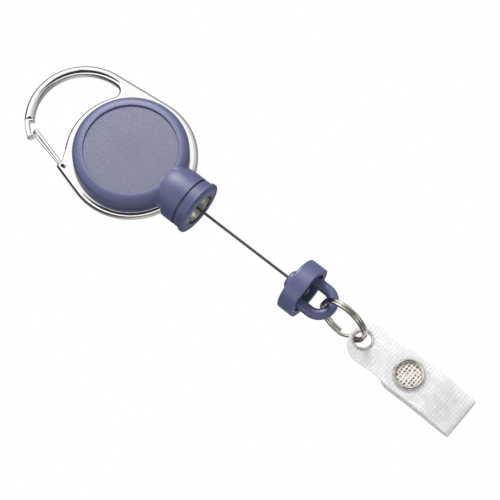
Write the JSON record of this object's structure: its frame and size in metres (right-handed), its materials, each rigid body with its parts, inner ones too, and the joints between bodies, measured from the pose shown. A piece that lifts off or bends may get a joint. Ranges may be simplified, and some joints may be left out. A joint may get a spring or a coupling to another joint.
{
  "type": "retractable badge reel",
  "caption": "Retractable badge reel: carabiner frame with wire gate, round spring reel, pull cord with stop, split ring and vinyl snap strap.",
  "frame": {"origin": "on the drum's axis, at the flat back face of the case", "axes": "+X the way the cord pulls out, +Z the way the reel's face looks"},
  "size_m": [0.1526, 0.0376, 0.0163],
  "materials": {
    "chrome_zinc": "polished",
    "chrome_wire": "polished",
    "case_plastic": "fine matt",
    "stop_plastic": "satin",
    "nickel": "bright nickel plate",
    "white_nylon": "moulded",
    "black_cord": "braided",
    "spring_steel": "blued strip",
    "clear_vinyl": "translucent, mesh reinforced"
  },
  "bodies": {
    "case": {"carabiner_frame": "chrome_zinc", "front_shell": "case_plastic", "rear_shell": "case_plastic", "nozzle_ferrule": "nickel", "lower_washer": "white_nylon", "upper_washer": "white_nylon", "cord_lead_in": "black_cord"},
    "gate": {"wire_gate": "chrome_wire"},
    "drum": {"cord_drum": "white_nylon", "spring_cover": "white_nylon", "power_spring": "spring_steel", "cord_winding": "black_cord", "cord_anchor_knot": "black_cord"},
    "cord_end": {"cord_run": "black_cord", "cord_end_knot": "black_cord"},
    "stop": {"cord_stop": "stop_plastic"},
    "ring": {"split_ring": "nickel"},
    "strap": {"strap_top": "clear_vinyl", "strap_eyelet": "nickel", "snap_cap_ring": "nickel", "snap_socket": "nickel"},
    "flap": {"strap_flap": "clear_vinyl", "snap_stud": "nickel", "snap_back_ring": "nickel"}
  },
  "joints": [
    {"name": "gate_hinge", "type": "hinge", "parent": "case", "child": "gate", "pos_m": [-0.01201, -0.01472, 0.006], "axis": [0, 0, -1], "range_deg": [0, 30], "stiffness_Nm_per_rad": 0.004, "springref_deg": -11.46},
    {"name": "cord_pull", "type": "slide", "parent": "case", "child": "cord_end", "axis": [1, 0, 0], "range_m": [-0.0337, 0.5657], "deforming": ["cord_run"]},
    {"name": "drum_spin", "type": "hinge", "parent": "case", "child": "drum", "pos_m": [0, 0, 0.006], "axis": [0, 0, -1], "range_deg": [-161, 2691], "deforming": ["power_spring"]},
    {"name": "stop_spin", "type": "hinge", "parent": "cord_end", "child": "stop", "pos_m": [0.0592, 0, 0.006], "axis": [1, 0, 0], "continuous": true},
    {"name": "ring_swing", "type": "hinge", "parent": "stop", "child": "ring", "pos_m": [0.0717, 0, 0.006], "axis": [0, 1, 0], "range_deg": [-60, 60]},
    {"name": "strap_swing", "type": "hinge", "parent": "ring", "child": "strap", "pos_m": [0.08273, 0, 0.00195], "axis": [0, 1, 0], "range_deg": [-8, 20]},
    {"name": "flap_fold", "type": "hinge", "parent": "strap", "child": "flap", "pos_m": [0.11704, 0, 0.0004], "axis": [0, -1, 0], "range_deg": [0, 120]}
  ],
  "couplings": [
    {"joint": "drum_spin", "follows": "cord_pull", "rad_per_m": 82.988}
  ]
}
